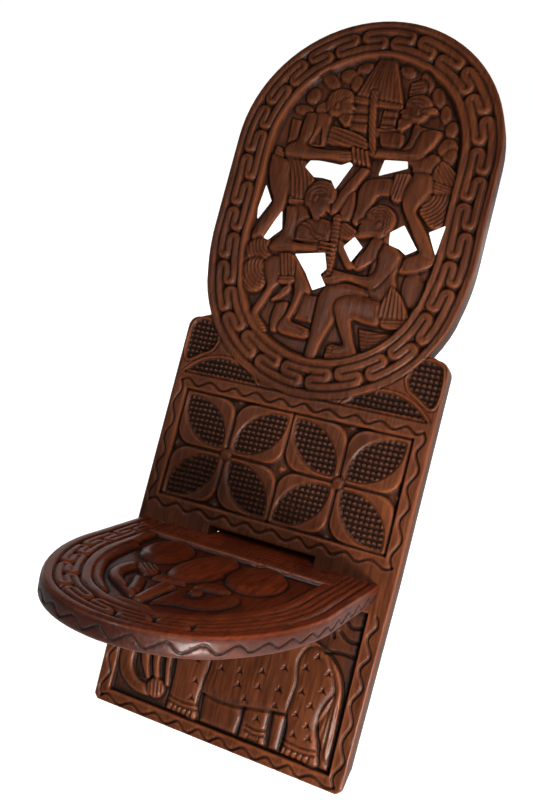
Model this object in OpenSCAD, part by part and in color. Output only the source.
// Two-board chair: a tall carved back board with a slot, and a carved seat
// board whose narrower tongue is pushed through that slot and down to the
// floor behind. Each board is drawn flat and then leaned into place.
// Origin: floor level, middle of the back board's foot.
// +X across the chair (right hand of someone facing it), the seat points to
// -Y, +Z is up. All lengths in millimetres.

/* [Stance] */
// lean of the back board from the vertical, degrees
back_lean = 36.9; // [25:0.1:45]
// slope of the seat board, front edge higher, degrees
seat_slope = 26.8; // [15:0.1:35]
// sideways place of the seat's middle over its tongue, left is negative
seat_shift = -5; // [-8:0.5:8]

/* [Back board] */
// thickness of the back board
back_t = 32; // [20:1:45]
// half width of the back board at the floor
foot_half = 161.5; // [120:0.5:200]
// half width of the back board at the shoulders
shoulder_half = 169; // [120:0.5:200]
// half width of the oval head
head_half = 170.5; // [120:0.5:200]
// height along the board where the head's round top is centred
head_top_centre = 739; // [600:1:850]
// height along the board where the head's straight sides end
head_side_end = 616; // [500:1:700]
// radius of the curve that draws the head in towards the shoulders
head_waist_r = 276; // [200:1:400]
// radius of the head's lower end
head_low_r = 167; // [120:1:200]
// height along the board of the centre of the head's lower end
head_low_centre = 586; // [500:1:650]
// radius of the rounded shoulder corners
shoulder_r = 14; // [4:1:30]

/* [Slot] */
// half width of the slot
slot_half = 69; // [69:0.5:100]
// height along the board of the top of the seat board at the front face
seat_height = 231; // [180:1:280]
// daylight left above the tongue at the front face
slot_gap = 10; // [4:0.5:20]
// play between the tongue and the slot where they touch
slot_play = 0.3; // [0.3:0.1:2]

/* [Carving of the back board] */
// width of the carved band round the head
band_w = 50; // [30:1:70]
// depth of the field the figures stand in
field_d = 7; // [3:0.5:12]
// depth of the flower and elephant panels
panel_d = 3; // [1:0.5:6]
// half width of the flower panel
panel_half = 146.5; // [120:0.5:155]
// lower edge of the flower panel along the board
flower_low = 263.5; // [250:0.5:300]
// upper edge of the flower panel along the board
flower_high = 398; // [350:0.5:410]
// half width of the lower panel
low_half = 142.5; // [110:0.5:155]
// lower edge of the lower panel
low_panel_low = 19.5; // [10:0.5:40]
// upper edge of the lower panel
low_panel_high = 196; // [150:0.5:205]

/* [Seat board] */
// thickness of the seat board
seat_t = 22; // [16:1:40]
// half width of the seat at its rear edge
seat_half = 155; // [120:0.5:180]
// half width of the seat where its sides start to curve in
seat_half_mid = 148; // [110:0.5:180]
// distance from the rear edge to where the sides start to curve in
seat_mid = 120; // [60:1:200]
// radius of the curved sides
seat_side_r = 269; // [200:1:400]
// radius of the seat's front end
seat_front_r = 120; // [80:1:160]
// distance from the rear edge to the centre of the front end
seat_front_centre = 207; // [150:1:260]
// half width of the tongue
tongue_half = 66; // [40:0.5:66]
// depth of the hollowed field in the seat
seat_field_d = 5; // [2:0.5:10]
// width of the carved band round the seat's field
seat_band = 46; // [30:1:60]
// width of the plain band along the seat's rear edge
seat_rear_band = 58; // [30:1:80]

/* [Hidden] */
$fn = 96;
far = 1200;                                  // longer than any part
seat_side_x = seat_side_r - seat_half_mid;   // centres of the curved sides
head_waist_x = head_waist_r - head_half;
shoulder_top = 493;                          // top of the shoulders along the board
tilt = back_lean - seat_slope;               // seat against the board's square
tongue_run = 520;                            // tongue before its foot is cut
foot_y = -back_t / cos(back_lean) / 2;       // front edge of the back foot

// ---------- placing ----------

// flat drawing (x across, y up the board, z out of the front face) to its lean
module lean_back() {
    translate([0, foot_y, 0]) rotate([90 - back_lean, 0, 0]) children();
}

// flat drawing (x across, y backwards, z up from the top face) to its slope
module slope_seat() {
    translate([seat_shift, foot_y + seat_height * sin(back_lean), seat_height * cos(back_lean)])
        rotate([-seat_slope, 0, 0]) children();
}

// everything below the floor
module below_floor() {
    translate([-far, -far, -far]) cube([2 * far, 2 * far, far]);
}

// ---------- outlines of the back board ----------

module head_outline(inset = 0) {
    // where the waist curve runs into the lower end
    tangent = head_low_centre - (head_low_r - inset)
        * (head_side_end - head_low_centre) / (head_waist_r - head_low_r);
    translate([0, head_top_centre]) circle(head_half - inset);
    translate([inset - head_half, head_side_end])
        square([2 * (head_half - inset), head_top_centre - head_side_end]);
    intersection() {
        translate([-head_waist_x, head_side_end]) circle(head_waist_r - inset);
        translate([head_waist_x, head_side_end]) circle(head_waist_r - inset);
        translate([-head_half, tangent]) square([2 * head_half, head_side_end - tangent]);
    }
    translate([0, head_low_centre]) circle(head_low_r - inset);
}

module shoulder_corner(side) {
    translate([side * (shoulder_half - shoulder_r), shoulder_top - shoulder_r])
        circle(shoulder_r);
}

module foot_corner(side) {
    translate([side * (foot_half - 6), 6]) circle(6);
}

module plank_outline() {
    polygon([
        [-foot_half + 6, 0], [foot_half - 6, 0], [foot_half, 6],
        [shoulder_half - 2, 230],
        [shoulder_half, shoulder_top - shoulder_r],
        [shoulder_half - shoulder_r, shoulder_top], [140, 499],
        [-140, 499], [-shoulder_half + shoulder_r, shoulder_top],
        [-shoulder_half, shoulder_top - shoulder_r],
        [-shoulder_half + 2, 230],
        [-foot_half, 6]
    ]);
    for (side = [-1, 1]) {
        shoulder_corner(side);
        foot_corner(side);
    }
}

// ---------- cuts in the back board ----------

// the slot, drawn from the side: square below, its roof sloping to the back
module slot_cut() {
    low = seat_height - seat_t / cos(tilt) - slot_play;
    roof_back = seat_height + back_t * tan(tilt) + slot_play;
    rotate([90, 0, 90]) translate([0, 0, -slot_half]) linear_extrude(2 * slot_half)
        polygon([
            [low, 1], [low, -back_t - 1],
            [roof_back, -back_t - 1], [roof_back, -back_t],
            [seat_height + slot_gap, 0], [seat_height + slot_gap, 1]
        ]);
}

// openings cut right through between the carved figures
module pierced() {
    polygon([[-67, 706], [-62, 715], [-20, 713], [-10, 718], [-5, 715],
             [-20, 681], [-28, 692], [-52, 694]]);
    polygon([[33, 725], [62, 726], [64, 717], [30, 704]]);
    polygon([[-113, 677], [-100, 657], [-112, 630], [-116, 645]]);
    polygon([[-82, 646], [-76, 621], [-91, 605], [-98, 607], [-90, 628]]);
    polygon([[-50, 592], [-12, 599], [-3, 579], [-9, 571], [0, 558],
             [-16, 550], [-30, 570]]);
    polygon([[20, 624], [33, 612], [23, 592], [9, 610]]);
    polygon([[77, 646], [99, 618], [87, 610], [64, 620], [62, 635]]);
    polygon([[120, 651], [107, 641], [119, 616]]);
}

// one petal: the overlap of two circles, pointed at both ends
module petal(reach, thick) {
    r = (reach * reach + thick * thick) / (4 * thick);
    off_axis = r - thick / 2;
    intersection() {
        translate([reach / 2, off_axis]) circle(r);
        translate([reach / 2, -off_axis]) circle(r);
    }
}

// four petals running from the middle of a panel half to its corners
module flower() {
    lean = atan2(flower_high - flower_low, panel_half);
    for (turn = [lean, 180 - lean, 180 + lean, -lean])
        rotate(turn) translate([8, 0]) petal(84, 38);
}

// the elephant left standing in the lower panel, cut flat
module elephant() {
    translate([92, 100]) circle(46);
    translate([-64, 52]) square([156, 94]);
    for (leg = [[-65, 38], [31, 28], [82, 42]])
        translate([leg[0], low_panel_low + 1]) square([leg[1], 60]);
    translate([-96, 62]) circle(44);
}

// ---------- back board ----------

module back_board() color([0.36, 0.17, 0.10]) difference() {
    lean_back() difference() {
        translate([0, 0, -back_t]) linear_extrude(back_t) {
            plank_outline();
            head_outline();
        }
        slot_cut();
        translate([0, 0, -back_t - 1]) linear_extrude(back_t + 2) pierced();
        // field of the head, inside the carved band
        translate([0, 0, -field_d]) linear_extrude(field_d + 1) head_outline(band_w);
        // groove between the head's outer rim and its band
        translate([0, 0, -2]) linear_extrude(3) difference() {
            head_outline(9);
            head_outline(12);
        }
        // petals sunk into the flower panel, four to a flower
        translate([0, 0, -panel_d]) linear_extrude(panel_d + 1)
            for (side = [-1, 1])
                translate([side * panel_half / 2, (flower_low + flower_high) / 2]) flower();
        // lower panel, sunk round the elephant
        translate([0, 0, -panel_d]) linear_extrude(panel_d + 1) difference() {
            translate([-low_half, low_panel_low])
                square([2 * low_half, low_panel_high - low_panel_low]);
            elephant();
        }
    }
    below_floor();
}

// ---------- seat board ----------

// the seat seen from above, its front end towards -y
module seat_outline(inset = 0) {
    // where the curved sides run into the front end
    tangent = seat_front_centre + (seat_front_r - inset)
        * (seat_front_centre - seat_mid) / (seat_side_r - seat_front_r);
    polygon([
        [-seat_half + inset, 0], [seat_half - inset, 0],
        [seat_half_mid - inset, -seat_mid], [-seat_half_mid + inset, -seat_mid]
    ]);
    intersection() {
        translate([-seat_side_x, -seat_mid]) circle(seat_side_r - inset);
        translate([seat_side_x, -seat_mid]) circle(seat_side_r - inset);
        translate([-seat_half, -tangent]) square([2 * seat_half, tangent - seat_mid]);
    }
    translate([0, -seat_front_centre]) circle(seat_front_r - inset);
}

// the rear edge of the seat is cut to lie against the leaning back board
module shoulder_bevel() {
    rotate([-tilt, 0, 0]) translate([-far, -slot_play, -far]) cube([2 * far, far, 2 * far]);
}

module seat_board() color([0.40, 0.19, 0.11]) difference() {
    slope_seat() {
        difference() {
            translate([0, 0, -seat_t]) linear_extrude(seat_t) seat_outline();
            // field of the seat, with three rounded figures left standing in it
            translate([0, 0, -seat_field_d]) linear_extrude(seat_field_d + 1)
                difference() {
                    intersection() {
                        seat_outline(seat_band);
                        translate([-far, -far]) square([2 * far, far - seat_rear_band]);
                    }
                    for (dome = [[-62, 102, 30], [-8, 128, 28], [42, 102, 30]])
                        translate([dome[0], -dome[1]]) circle(dome[2]);
                }
            shoulder_bevel();
        }
        translate([-tongue_half - seat_shift, -20, -seat_t])
            cube([2 * tongue_half, 20 + tongue_run, seat_t]);
    }
    below_floor();
}

back_board();
seat_board();
